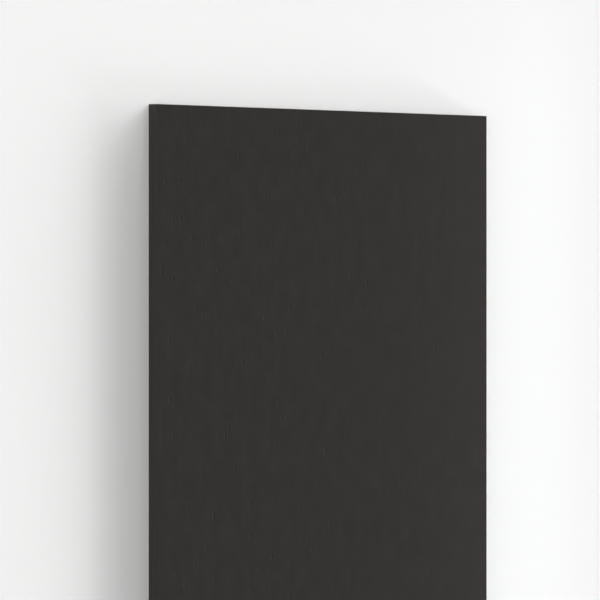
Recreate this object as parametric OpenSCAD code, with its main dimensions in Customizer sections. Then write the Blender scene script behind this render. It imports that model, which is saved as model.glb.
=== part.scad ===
// Decorative laminate sheet: one full-size sheet of the solid, compact grade.
// It lies flat with its decor face up, and its grain runs along Y.
// The origin is at the middle of the back face.

/* [Sheet] */
// Width of the sheet, across the grain
sheet_w = 1220; // [915:5:1860]
// Length of the sheet, along the grain
sheet_l = 2440; // [1830:5:4270]
// Thickness of the sheet, from the back face to the decor face
sheet_t = 25; // [6:0.5:30]

/* [Edges] */
// Width of the arris that eases each long and each short edge of both faces
arris = 0.5; // [0.2:0.1:2]
// Width of the nib taken off each upright corner
corner_nib = 1; // [0.5:0.1:5]

/* [Hidden] */
// Charcoal decor, with a core of the same near-black
charcoal = "#363432";

// Rectangle about the origin with its four corners cut off at 45 degrees.
// Each cut takes the length "ease" off both of the sides that meet there.
module eased_rectangle(width, height, ease) {
  side = width / 2;
  end = height / 2;
  polygon([
    [-side + ease, -end], [side - ease, -end],
    [side, -end + ease], [side, end - ease],
    [side - ease, end], [-side + ease, end],
    [-side, end - ease], [-side, -end + ease]
  ]);
}

// Outline of the sheet seen from above, with its corner nibs, through its whole thickness
module trimmed_outline() {
  linear_extrude(sheet_t) eased_rectangle(sheet_w, sheet_l, corner_nib);
}

// Section across the grain, swept along the length: eases the two long edges of both faces
module long_edge_section() {
  translate([0, 0, sheet_t / 2])
    rotate([90, 0, 0])
      linear_extrude(sheet_l, center = true) eased_rectangle(sheet_w, sheet_t, arris);
}

// Section along the grain, swept across the width: eases the two short edges of both faces
module short_edge_section() {
  translate([0, 0, sheet_t / 2])
    rotate([90, 0, 90])
      linear_extrude(sheet_w, center = true) eased_rectangle(sheet_l, sheet_t, arris);
}

// The whole sheet is one solid: decor papers and core are cured into one piece in the press.
// What the outline and both sections share is the trimmed board, with its arrises mitred at the corners.
module laminate_sheet() {
  color(charcoal)
    intersection() {
      trimmed_outline();
      long_edge_section();
      short_edge_section();
    }
}

laminate_sheet();
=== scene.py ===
# %% [markdown]
# # A full-size sheet of compact laminate
#
# The object is one sheet of decorative laminate of the solid, compact grade. Sheets of resin-soaked
# paper are stacked, a printed charcoal paper goes on each side, and a hot press cures the stack
# into one hard board. Nothing moves and nothing is screwed on, so all the work goes into its
# surface.
#
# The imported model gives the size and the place. Everything below is built round it, in metres:
# X across the sheet, Y along its length and its grain, and Z up out of the decor face.

# %% Load the frame
import math

import bmesh
import bpy
import numpy as np
from mathutils import Matrix, Vector, noise


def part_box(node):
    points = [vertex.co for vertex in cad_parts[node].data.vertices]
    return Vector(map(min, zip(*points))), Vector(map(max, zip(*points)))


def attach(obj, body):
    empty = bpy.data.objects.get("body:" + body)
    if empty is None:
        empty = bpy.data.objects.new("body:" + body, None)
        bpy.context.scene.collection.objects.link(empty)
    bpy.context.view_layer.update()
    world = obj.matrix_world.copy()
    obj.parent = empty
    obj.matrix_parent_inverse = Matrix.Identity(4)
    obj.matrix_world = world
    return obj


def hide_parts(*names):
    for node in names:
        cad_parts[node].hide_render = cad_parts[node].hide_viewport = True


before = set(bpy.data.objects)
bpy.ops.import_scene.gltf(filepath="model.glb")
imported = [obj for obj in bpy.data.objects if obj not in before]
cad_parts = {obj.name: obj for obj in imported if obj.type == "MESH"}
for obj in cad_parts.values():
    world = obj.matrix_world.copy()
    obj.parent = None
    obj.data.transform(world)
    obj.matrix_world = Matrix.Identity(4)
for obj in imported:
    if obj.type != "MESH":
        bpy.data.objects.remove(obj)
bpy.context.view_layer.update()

MM = 0.001
NODE = "laminate_sheet"
low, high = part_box(NODE)
width, length, thickness = high - low
centre = (low + high) / 2
print(f"sheet: {width / MM:.0f} x {length / MM:.0f} x {thickness / MM:.0f} mm")

# %% [markdown]
# ## Small helpers
#
# Blender's operators act on whatever is selected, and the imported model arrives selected. So every
# piece starts by clearing the selection. Edges and faces are then picked in code, by their place.

# %% Helpers for modelling
def clear_selection():
    """Selects nothing, so that the next operator touches only what it makes."""
    bpy.ops.object.select_all(action="DESELECT")


def name_piece(name):
    """Names the primitive that was just added, and its mesh."""
    piece = bpy.context.active_object
    piece.name = name
    piece.data.name = name
    return piece


def select_edges(piece, wanted):
    """In edit mode, selects only the edges that the test accepts, and returns how many."""
    bpy.ops.mesh.select_mode(type="EDGE")
    bpy.ops.mesh.select_all(action="DESELECT")
    mesh = bmesh.from_edit_mesh(piece.data)
    picked = [edge for edge in mesh.edges if wanted(edge.verts[0].co, edge.verts[1].co)]
    for edge in picked:
        edge.select_set(True)
    bmesh.update_edit_mesh(piece.data)
    return len(picked)


def select_faces(piece, wanted):
    """In edit mode, selects only the faces whose middle the test accepts, and returns how many."""
    bpy.ops.mesh.select_mode(type="FACE")
    bpy.ops.mesh.select_all(action="DESELECT")
    mesh = bmesh.from_edit_mesh(piece.data)
    picked = [face for face in mesh.faces if wanted(face.calc_center_median())]
    for face in picked:
        face.select_set(True)
    bmesh.update_edit_mesh(piece.data)
    return len(picked)


def near(value, target, reach=0.01 * MM):
    """True if two lengths are the same within a hundredth of a millimetre."""
    return abs(value - target) < reach


# %% [markdown]
# ## The blank
#
# The real sheet leaves the press oversize and is sawn square. Then the edges are eased, because a
# fresh edge of this hard material cuts hands: a file takes the nib off each upright corner, and a
# trimmer takes half a millimetre off each edge of both faces.
#
# The outline could be drawn and extruded upwards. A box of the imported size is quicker, and two
# bevels make it the blank. The upright corners come first, so that the arris then runs round them
# without a break.

# %% Add and trim the blank
CORNER_NIB = 1.0 * MM
NIB_STEPS = 4
ARRIS = 0.5 * MM
ARRIS_STEPS = 3


def stands_upright(a, b):
    """True for an edge with one end straight above the other."""
    return near(a.x, b.x) and near(a.y, b.y)


def lies_on_rim(a, b):
    """True for an edge of the top or the bottom outline."""
    return near(a.z, b.z) and (near(a.z, low.z) or near(a.z, high.z))


clear_selection()
bpy.ops.mesh.primitive_cube_add(size=1, location=centre, scale=(width, length, thickness))
sheet = name_piece("charcoal_sheet")
bpy.ops.object.transform_apply(location=True, rotation=True, scale=True)

bpy.ops.object.mode_set(mode="EDIT")
corner_count = select_edges(sheet, stands_upright)
bpy.ops.mesh.bevel(offset=CORNER_NIB, segments=NIB_STEPS)
rim_count = select_edges(sheet, lies_on_rim)
bpy.ops.mesh.bevel(offset=ARRIS, segments=ARRIS_STEPS)
bpy.ops.object.mode_set(mode="OBJECT")
blank_faces = len(sheet.data.polygons)
print(f"blank: {corner_count} corners and {rim_count} rim edges eased, {blank_faces} faces")

# %% [markdown]
# ## The grain pores
#
# The press plate is engraved, and it leaves short dents along the length of both faces, like the
# open pores of oak. Each one catches light on one flank and holds shade on the other. A bump could
# imitate that, but its dents cast no shade and go flat in a low view, so they are cut as real
# geometry.
#
# One cutter is modelled, one unit wide, long and deep: a ball whose lower cap dips into the face.
# Its two ends are pinched narrower, and its bottom is pushed to one side in two steps. So one flank
# is long and gentle and the other short and steep. What stands clear of the face is sliced off.

# %% Model one pore cutter
CUTTER_SIDES = 12
CUTTER_RINGS = 12
# How much of the ball dips into the face, as an angle from its lowest point.
CAP_ANGLE = math.radians(40)
# The ends are the faces that lie at least this many times as far along as across.
END_SLOPE = 2
PINCH = 0.5
# The bottom is pushed by this much once for each height, below that height.
PUSH = 0.06
PUSHED_BELOW = (-0.2, -0.8)
# The height above the face at which the ball is sliced off.
ABOVE = 0.25

cap_depth = 1 - math.cos(CAP_ANGLE)
cap_width = 2 * math.sin(CAP_ANGLE)

clear_selection()
bpy.ops.mesh.primitive_uv_sphere_add(
    segments=CUTTER_SIDES,
    ring_count=CUTTER_RINGS,
    radius=1,
    location=(0, 0, math.cos(CAP_ANGLE) / cap_depth),
    scale=(1 / cap_width, 1 / cap_width, 1 / cap_depth),
)
cutter = name_piece("pore_cutter")
bpy.ops.object.transform_apply(location=True, rotation=True, scale=True)

bpy.ops.object.mode_set(mode="EDIT")
for end in (1, -1):
    select_faces(cutter, lambda middle: middle.y * end > END_SLOPE * abs(middle.x))
    bpy.ops.transform.resize(value=(PINCH, 1, 1), center_override=(0, 0, 0))
for depth in PUSHED_BELOW:
    select_faces(cutter, lambda middle: middle.z < depth)
    bpy.ops.transform.translate(value=(PUSH, 0, 0))
bpy.ops.mesh.select_all(action="SELECT")
bpy.ops.mesh.bisect(plane_co=(0, 0, ABOVE), plane_no=(0, 0, 1), use_fill=True, clear_outer=True)
bpy.ops.object.mode_set(mode="OBJECT")
top_wide, top_long = cutter.dimensions[:2]
print(f"pore cutter: {len(cutter.data.polygons)} faces")
print(f"at its top it is {top_wide:.2f} wide and {top_long:.2f} long")

# %% [markdown]
# ## Scatter and cut the pores
#
# Pores come thick in some bands and thin in others, and they never touch. Placed by hand they would
# take a day, and scattered freely they would run into each other. So each face is divided into
# cells, a smooth noise says how full each stretch is, and a cell holds one pore or none. Each
# column of cells is shifted along the grain by a length of its own, so that no rows show.
#
# A real pore is about 0.3 mm wide, far below a pixel from the picture's distance. The picture shows
# marks up to 8 mm wide, so they are drawn about as coarse as that, in two sizes: bold and faint.
#
# The seed is one of a few hundred that were tried. It was kept because its pores lie thick and thin
# in much the same places as the picture's marks.

# %% Say where pores lie thick
SEED = 249
# The share of the pores that the left edge gains and the right edge loses.
LEAN = 0.75
# Swells of the noise in a metre, how strong they are, and how far each face's noise is set apart.
BANDS = {"across": 9, "along": 1.6, "weight": 1.3, "step": 3.7}
PATCHES = {"across": 20, "along": 10, "weight": 1.8, "step": 8.1}


def swell(kind, x, y, side):
    """One kind of smooth noise at a place, above 0 as often as below it."""
    place = Vector((x * kind["across"], y * kind["along"], SEED + kind["step"] * side))
    return kind["weight"] * noise.noise(place)


def fullness(x, y, side):
    """How full of pores a place is: about 1 on average, more in some bands and towards -X."""
    lean = 1 - LEAN * x / (width / 2)
    return max(0.0, lean * (1 + swell(BANDS, x, y, side) + swell(PATCHES, x, y, side)))


left_full, right_full = (fullness(edge * width / 2, 0, 1) for edge in (-1, 1))
print(f"fullness halfway up the decor face: {left_full:.2f} at the left, {right_full:.2f} at the right")

# %% Draw the pores of both faces
CELL_WIDE = 13 * MM
CELL_LONG = 36 * MM
MARGIN = 8 * MM
# The least land between the side of a cell and a pore that runs straight along the grain.
LAND = 0.05 * MM
# The share of cells that hold such a pore at a fullness of 1, and its sizes in millimetres.
BOLD = {"share": 0.036, "long": (9, 28), "wide": (4.6, 8.8), "deep": (0.31, 0.8)}
FAINT = {"share": 0.08, "long": (6, 18), "wide": (2.0, 3.6), "deep": (0.06, 0.13)}
# How far pores usually turn off the grain, and the most that any of them does.
TILT = math.radians(2.5)
MOST_TILT = 2.5 * TILT
# The draw is divided by the fullness, so an empty place counts as this full.
LEAST_FULL = 0.01


def kind_of_pore(chance):
    """Bold, faint or none, for a draw from 0 upwards."""
    if chance < BOLD["share"]:
        return BOLD
    if chance < BOLD["share"] + FAINT["share"]:
        return FAINT
    return None


def draw_pore(kind, x, y, dice):
    """One pore as (x, y, wide, long, deep, tilt), anywhere that it fits in the cell round x, y."""
    wide = dice.uniform(*kind["wide"]) * MM
    long = dice.uniform(*kind["long"]) * MM
    deep = dice.uniform(*kind["deep"]) * MM
    tilt = float(np.clip(dice.normal(0, TILT), -MOST_TILT, MOST_TILT))
    room_x = CELL_WIDE - wide * top_wide - long * abs(math.sin(tilt)) - 2 * LAND
    room_y = CELL_LONG - long * top_long - 2 * LAND
    x += dice.uniform(-0.5, 0.5) * max(room_x, 0)
    y += dice.uniform(-0.5, 0.5) * max(room_y, 0)
    return x, y, wide, long, deep, tilt


def draw_pores(side, dice):
    """Lists the pores of one face, at most one in each cell."""
    pores = []
    columns = int((width - 2 * MARGIN) / CELL_WIDE)
    # One row fewer than fits, so that a shifted column still stays on the sheet.
    rows = int((length - 2 * MARGIN) / CELL_LONG) - 1
    for column in range(columns):
        shift = dice.uniform(-0.5, 0.5)
        for row in range(rows):
            x = (column + 0.5 - columns / 2) * CELL_WIDE
            y = (row + 0.5 - rows / 2 + shift) * CELL_LONG
            kind = kind_of_pore(dice.random() / max(fullness(x, y, side), LEAST_FULL))
            if kind:
                pores.append(draw_pore(kind, x, y, dice))
    return pores


dice = np.random.default_rng(SEED)
pores = {side: draw_pores(side, dice) for side in (1, -1)}
print("pores on the decor face and the back:", len(pores[1]), len(pores[-1]))

# %% Join the cutters
shape = np.array([vert.co for vert in cutter.data.vertices])
loops = [list(face.vertices) for face in cutter.data.polygons]


def placed_cutter(pore, side):
    """The cutter's corners at one pore. On the back the cutter is turned over about Y."""
    x, y, wide, long, deep, tilt = pore
    corners = shape * (wide, long, deep) * (side, 1, side)
    turn = np.array(Matrix.Rotation(tilt, 3, "Z"))
    face_z = high.z if side == 1 else low.z
    return corners @ turn.T + (x, y, face_z)


corner_sets = [placed_cutter(pore, side) for side in (1, -1) for pore in pores[side]]
face_list = [
    [corner + index * len(shape) for corner in loop]
    for index in range(len(corner_sets))
    for loop in loops
]
joined = bpy.data.meshes.new("pore_cutters")
joined.from_pydata(np.concatenate(corner_sets).tolist(), [], face_list)
cutters = bpy.data.objects.new("pore_cutters", joined)
bpy.context.scene.collection.objects.link(cutters)
print(f"joined: {len(corner_sets)} cutters, {len(joined.polygons)} faces")

# %% Cut both faces
clear_selection()
sheet.select_set(True)
bpy.context.view_layer.objects.active = sheet
engrave = sheet.modifiers.new("engrave", "BOOLEAN")
engrave.operation = "DIFFERENCE"
engrave.solver = "MANIFOLD"
engrave.object = cutters
bpy.ops.object.modifier_apply(modifier=engrave.name)
for spent in (cutters, cutter):
    bpy.data.objects.remove(spent)
print(f"cut: the sheet has {len(sheet.data.polygons)} faces")

# %% Shade the dents smooth
# The dents are shaded smooth inside, and the flat of the sheet and its edges stay flat. A face
# counts as sunk from this depth on.
SUNK = 0.001 * MM
inner_x = width / 2 - MARGIN / 2
inner_y = length / 2 - MARGIN / 2


def in_a_pore(middle):
    """True for a face inside a pore: sunk below the flat, and well away from the edges."""
    sunk = min(abs(middle.z - high.z), abs(middle.z - low.z)) > SUNK
    return sunk and abs(middle.x - centre.x) < inner_x and abs(middle.y - centre.y) < inner_y


bpy.ops.object.mode_set(mode="EDIT")
pore_faces = select_faces(sheet, in_a_pore)
bpy.ops.mesh.faces_shade_smooth()
bpy.ops.object.mode_set(mode="OBJECT")
sheet.data.calc_loop_triangles()
print(f"engraved: {pore_faces} faces in pores, {len(sheet.data.loop_triangles)} triangles in all")

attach(sheet, "root")
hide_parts(NODE)

# %% [markdown]
# ## Colours and nodes
#
# Colours are written as on screen and turned to the linear values that the shader works in. Every
# pattern below is made of a few nodes, so one function adds a node with its settings and links.
#
# All the patterns of this sheet are noise, stretched to the size of the real thing. Noise on the
# object's own coordinates stays where it is when the sheet moves, and needs no picture.

# %% Helpers for materials
def linear(hex_colour):
    """A hex colour as the linear red, green, blue and alpha that Blender reads."""
    channels = [int(hex_colour[place:place + 2], 16) / 255 for place in (1, 3, 5)]
    bent = [c / 12.92 if c <= 0.04045 else ((c + 0.055) / 1.055) ** 2.4 for c in channels]
    return (*bent, 1.0)


def add_node(tree, kind, inputs=None, **settings):
    """Adds a node. Settings are its own properties, and each input is a value or a socket."""
    node = tree.nodes.new(kind)
    for name, value in settings.items():
        setattr(node, name, value)
    for name, value in (inputs or {}).items():
        socket = node.inputs[name]
        if isinstance(value, bpy.types.NodeSocket):
            tree.links.new(value, socket)
        else:
            socket.default_value = value
    return node


def start_material(name):
    """A new material with nothing in it yet, and its node tree."""
    material = bpy.data.materials.new(name)
    material.use_nodes = True
    material.node_tree.nodes.clear()
    return material, material.node_tree


def lay_patterns(tree, patterns):
    """Lays each pattern as noise over the sheet, stretched to its size, and returns the sockets."""
    place = add_node(tree, "ShaderNodeTexCoord").outputs["Object"]
    laid = {}
    for name, (size, detail) in patterns.items():
        cells_in_a_metre = [1 / (side * MM) for side in size]
        stretched = add_node(
            tree, "ShaderNodeMapping", {"Vector": place, "Scale": cells_in_a_metre}
        )
        grains = add_node(
            tree, "ShaderNodeTexNoise",
            {"Vector": stretched.outputs[0], "Scale": 1, "Detail": detail},
        )
        laid[name] = grains.outputs[0]
    return laid


# %% [markdown]
# ## Charcoal decor
#
# Melamine-faced decor paper, pressed against a fine suede plate: a hard, matt, slightly velvety
# surface that is almost black and a touch warm. To the eye it is even, with faint lengthwise
# streaks and soft cloudy patches from the print, and a low sheen towards the light. Close up it is
# full of hair-fine lengthwise lines between the larger pores. Cutting those too would take far too
# many faces, so they are left to the bump.
#
# The finish is made twice. The picture shows more pale marks than dark ones, so the pores get a
# copy that is a shade paler than the flat. That paleness is painted highlight: it stands in for the
# light that the flanks of the dents catch.

# %% Charcoal decor
# Each pattern's size across, along and through the sheet in millimetres, and its detail.
DECOR_PATTERNS = {
    # Printed streaks are about 6 mm wide and run on for more than half a metre.
    "streaks": ((6.25, 625, 1000), 2),
    # Cloudy patches in the print, 35 to 60 mm across.
    "clouds": ((34.5, 59, 1000), 3),
    # Suede tooth: real bumps are about 0.2 mm wide, drawn four times as coarse to show close up.
    "tooth": ((0.83, 1.43, 0.83), 2),
    # Hair pores: only the peaks of this noise make a line, about 0.7 mm wide and 10 mm long.
    "hair": ((1.43, 18.2, 1000), 1),
}
DECOR_RELIEF = 0.02 * MM


def paint_decor(name, dark, light):
    """The decor finish between two shades of charcoal."""
    material, tree = start_material(name)
    patterns = lay_patterns(tree, DECOR_PATTERNS)

    # Clouds count three times as much as streaks. The sum of both lies about 2, and it is spread
    # so that the darkest and the palest places reach the two shades.
    both = add_node(
        tree, "ShaderNodeMath",
        {0: patterns["clouds"], 1: 3, 2: patterns["streaks"]},
        operation="MULTIPLY_ADD",
    )
    shade = add_node(
        tree, "ShaderNodeMapRange",
        {"Value": both.outputs[0], "From Min": 1.35, "From Max": 2.65},
    )
    # On a Mix node for colours, input 0 is the share and 6 and 7 are the two colours.
    colour = add_node(
        tree, "ShaderNodeMix",
        {0: shade.outputs[0], 6: linear(dark), 7: linear(light)},
        data_type="RGBA",
    )

    # A hair pore goes down by twice the height of the tooth.
    hair_cut = add_node(
        tree, "ShaderNodeMapRange",
        {"Value": patterns["hair"], "From Min": 0.58, "From Max": 0.7, "To Max": -2},
    )
    relief = add_node(
        tree, "ShaderNodeMath",
        {0: patterns["tooth"], 1: hair_cut.outputs[0]},
        operation="ADD",
    )
    bump = add_node(
        tree, "ShaderNodeBump",
        {"Height": relief.outputs[0], "Strength": 1, "Distance": DECOR_RELIEF},
    )

    surface = add_node(
        tree, "ShaderNodeBsdfPrincipled",
        {
            "Base Color": colour.outputs[2],
            "Roughness": 0.45,
            "Specular IOR Level": 0.35,
            "Normal": bump.outputs[0],
        },
    )
    add_node(tree, "ShaderNodeOutputMaterial", {"Surface": surface.outputs[0]})
    return material


decor = paint_decor("charcoal_melamine_decor", "#2d2b28", "#322f2d")
# The pore copy is paler by painted highlight, which stands in for the light that the dents' flanks
# catch.
pale_pore_paint = paint_decor("charcoal_pore_painted_highlight", "#312f2c", "#363331")
print("decor finishes:", decor.name, pale_pore_paint.name)

# %% [markdown]
# ## Core edge
#
# The sawn and trimmed edge shows the core: dyed papers in black phenolic resin, cured hard. It is
# as dark as the decor. Close up it has hairlines where the papers lie on each other, and across
# them the faint ripples of the cutter. A wave texture could draw the lines, but it would rule them,
# so they are noise that is stretched along the edge.

# %% Core edge
# Each pattern's size across, along and through the sheet in millimetres, and its detail.
CORE_PATTERNS = {
    # A core paper is about 0.25 mm thick. Its lines are drawn 0.6 mm apart, which still shows.
    "plies": ((250, 250, 0.625), 2),
    # The trimmer leaves fine upright ripples, about 1.5 mm apart along every edge.
    "ripples": ((1.54, 1.54, 40), 2),
}
CORE_RELIEF = 0.06 * MM


def paint_core():
    """The finish of the sawn edge, rougher than the decor and as dark."""
    material, tree = start_material("black_phenolic_core")
    patterns = lay_patterns(tree, CORE_PATTERNS)
    ply_shade = add_node(
        tree, "ShaderNodeMapRange",
        {"Value": patterns["plies"], "From Min": 0.3, "From Max": 0.7},
    )
    colour = add_node(
        tree, "ShaderNodeMix",
        {0: ply_shade.outputs[0], 6: linear("#2b2927"), 7: linear("#3a3836")},
        data_type="RGBA",
    )
    relief = add_node(
        tree, "ShaderNodeMath",
        {0: patterns["ripples"], 1: patterns["plies"]},
        operation="ADD",
    )
    bump = add_node(
        tree, "ShaderNodeBump",
        {"Height": relief.outputs[0], "Strength": 1, "Distance": CORE_RELIEF},
    )
    surface = add_node(
        tree, "ShaderNodeBsdfPrincipled",
        {
            "Base Color": colour.outputs[2],
            "Roughness": 0.55,
            "Specular IOR Level": 0.3,
            "Normal": bump.outputs[0],
        },
    )
    add_node(tree, "ShaderNodeOutputMaterial", {"Surface": surface.outputs[0]})
    return material


core = paint_core()
print("edge finish:", core.name)

# %% [markdown]
# ## Put the finishes on
#
# The decor ends where the trimmer has cut through it. So every face within an arris of the outline
# gets the core finish, the dents get the paler copy of the decor, whose paleness is painted
# highlight, and the flat gets the plain one. A mesh holds its finishes in numbered slots, and each
# face names the slot that it uses.

# %% Give each face its finish
finishes = {"flat": decor, "pore": pale_pore_paint, "edge": core}


def finish_of(face):
    """Names the finish of a face by its place."""
    by_a_side = abs(face.center.x - centre.x) > width / 2 - ARRIS
    by_an_end = abs(face.center.y - centre.y) > length / 2 - ARRIS
    if by_a_side or by_an_end:
        return "edge"
    # Faces inside a pore get the copy that is paler by painted highlight.
    return "pore" if in_a_pore(face.center) else "flat"


sheet.data.materials.clear()
for finish in finishes.values():
    sheet.data.materials.append(finish)
slots = {name: slot for slot, name in enumerate(finishes)}
face_counts = dict.fromkeys(finishes, 0)
for face in sheet.data.polygons:
    name = finish_of(face)
    face.material_index = slots[name]
    face_counts[name] += 1
print("faces with each finish:", face_counts)

# %% [markdown]
# ## The floor
#
# A studio would hang a paper roll that curves up behind the object. Every view here looks down, so
# a plain flat floor is enough, so wide that no view sees its end. Its colour gives the picture its
# pale ground, and it keeps the sheet's shadow. It lies a hair below the sheet, because two surfaces
# in one plane would show as specks.

# %% Pale floor
FLOOR_SIZE = 400
FLOOR_GAP = 0.2 * MM

clear_selection()
bpy.ops.mesh.primitive_plane_add(size=FLOOR_SIZE, location=(0, 0, low.z - FLOOR_GAP))
floor = name_piece("pale_floor")
floor_paint, floor_tree = start_material("pale_floor_paint")
floor_surface = add_node(
    floor_tree, "ShaderNodeBsdfPrincipled",
    {"Base Color": linear("#f6f6f6"), "Roughness": 1, "Specular IOR Level": 0},
)
add_node(floor_tree, "ShaderNodeOutputMaterial", {"Surface": floor_surface.outputs[0]})
floor.data.materials.append(floor_paint)
print(f"floor: {FLOOR_SIZE} m wide, {FLOOR_GAP / MM:.1f} mm below the sheet")

# %% [markdown]
# ## The light
#
# A plain sky and a big soft lamp high on the left show the colours as they are. A soft fill, lower
# on the left and a touch warm, lights the edge nearest the camera.
#
# Those alone would leave the face blank. What models it is a fan of six low lamps, from the right
# round to the top end. They rake over the pores, and together they draw the wide soft shadow at the
# left. One more lamp, a little higher, deepens that shadow close to the sheet. The fill and all
# seven of these are left out of the gloss, so that no view mirrors them. Last comes a narrow strip
# lamp beside the right edge, for the low sheen there.

# %% Sky and distant lamps
SKY_STRENGTH = 0.17
# The azimuths of the six raking lamps, in degrees.
RAKING_FROM = range(-20, 81, 20)


def add_sun(name, strength, spread, azimuth, elevation, colour=(1, 1, 1)):
    """A soft distant lamp. Azimuth 0 is from +X and 90 from +Y, and spread is its width, in degrees."""
    clear_selection()
    bpy.ops.object.light_add(type="SUN")
    lamp = bpy.context.active_object
    lamp.name = name
    lamp.data.energy = strength
    lamp.data.angle = math.radians(spread)
    lamp.data.color = colour
    turn = math.radians(azimuth)
    rise = math.radians(elevation)
    level = math.cos(rise)
    towards = Vector((math.cos(turn) * level, math.sin(turn) * level, math.sin(rise)))
    lamp.rotation_euler = towards.to_track_quat("Z", "Y").to_euler()
    return lamp


sky = bpy.data.worlds.new("studio_sky")
bpy.context.scene.world = sky
sky.use_nodes = True
sky.node_tree.nodes["Background"].inputs["Color"].default_value = (1, 1, 1, 1)
sky.node_tree.nodes["Background"].inputs["Strength"].default_value = SKY_STRENGTH

add_sun("overhead_soft", strength=0.64, spread=60, azimuth=180, elevation=60)
fill = add_sun(
    "fill_left", strength=1.2, spread=50, azimuth=180, elevation=15, colour=(1, 0.97, 0.94)
)
side = add_sun("side_right", strength=1.36, spread=10, azimuth=30, elevation=9)
rakers = [
    add_sun(f"raking_{azimuth}", strength=4.4, spread=12, azimuth=azimuth, elevation=3)
    for azimuth in RAKING_FROM
]
for lamp in (fill, side, *rakers):
    lamp.visible_glossy = False
print(f"distant lamps: {len(rakers)} raking, and 3 others")

# %% Strip lamp
# How far the strip lamp is from the right edge and above the face, and its own size, in metres.
STRIP_AWAY = 0.33
STRIP_ABOVE = 0.28
STRIP_WIDE = 0.05
STRIP_LONG = 3

clear_selection()
bpy.ops.object.light_add(
    type="AREA",
    location=(high.x + STRIP_AWAY, centre.y, high.z + STRIP_ABOVE),
    rotation=(0, math.atan2(STRIP_AWAY, STRIP_ABOVE), 0),
)
strip = bpy.context.active_object
strip.name = "edge_strip"
strip.data.shape = "RECTANGLE"
strip.data.size = STRIP_WIDE
strip.data.size_y = STRIP_LONG
strip.data.energy = 0.6
strip.data.color = (0.85, 0.92, 1)
strip.visible_camera = False
print(f"strip lamp: {STRIP_LONG} m long, aimed at the right edge of the sheet")

# %% [markdown]
# ## The camera
#
# The picture shows the sheet turned 49 degrees from face-on, through a very long lens, with its
# length upright in the frame. The camera could be turned by eye until it fits, but a few sizes
# taken from the picture are enough to work it out. The verticals stay parallel, so the horizon is
# at mid height. The slope of the top edge gives the lens, the width between the two outlines gives
# the distance, and the height of the top right corner gives the aim.
#
# The sheet lies flat here, so the same view is one that looks down on it from the left, rolled so
# that the sheet's length runs up the picture.

# %% Work out the view
FRAME_SIZE = 600
LEFT_OUTLINE_X = 148.65
RIGHT_OUTLINE_X = 486.65
TOP_RIGHT_Y = 116.05
TOP_EDGE_SLOPE = 0.03665
FACE_TURN = math.radians(49)

left = LEFT_OUTLINE_X - FRAME_SIZE / 2
right = RIGHT_OUTLINE_X - FRAME_SIZE / 2
corner_rise = FRAME_SIZE / 2 - TOP_RIGHT_Y
across = Vector((math.cos(FACE_TURN), 0, math.sin(FACE_TURN)))
up = Vector((0, 1, 0))
away = Vector((math.sin(FACE_TURN), 0, -math.cos(FACE_TURN)))
near_corner = Vector((low.x, high.y, high.z))
far_corner = Vector((high.x, high.y, high.z))
foot_corner = Vector((low.x, high.y, low.z))
far_step = far_corner - near_corner
foot_step = foot_corner - near_corner

# The lens comes out in pixels, and the distances in metres.
focal = math.tan(FACE_TURN) * (right + corner_rise / TOP_EDGE_SLOPE)
seen_width = focal * (far_step - foot_step).dot(across)
depth_shift = right * far_step.dot(away) - left * foot_step.dot(away)
distance = (seen_width - depth_shift) / (right - left)
far_distance = distance + far_step.dot(away)
offset = right * far_distance / focal - far_step.dot(across)
height = corner_rise * far_distance / focal
print(f"view: lens {focal:.0f} px, {distance:.2f} m from the near corner")

# %% Place the camera
camera_data = bpy.data.cameras.new("camera")
camera = bpy.data.objects.new("camera", camera_data)
bpy.context.scene.collection.objects.link(camera)
camera_data.lens = camera_data.sensor_width * focal / FRAME_SIZE
camera_data.clip_start = 0.1
camera_data.clip_end = 500
camera.location = near_corner - offset * across - height * up - distance * away
camera.rotation_euler = Matrix((across, up, -away)).transposed().to_euler()
bpy.context.scene.camera = camera
print(f"camera: {camera_data.lens:.0f} mm lens")

# %% [markdown]
# ## Colour view
#
# Colours are shown as they are, with no film curve. The dressed sheet has to stay inside the
# imported one.

# %% Colour view
bpy.context.scene.view_settings.view_transform = "Standard"
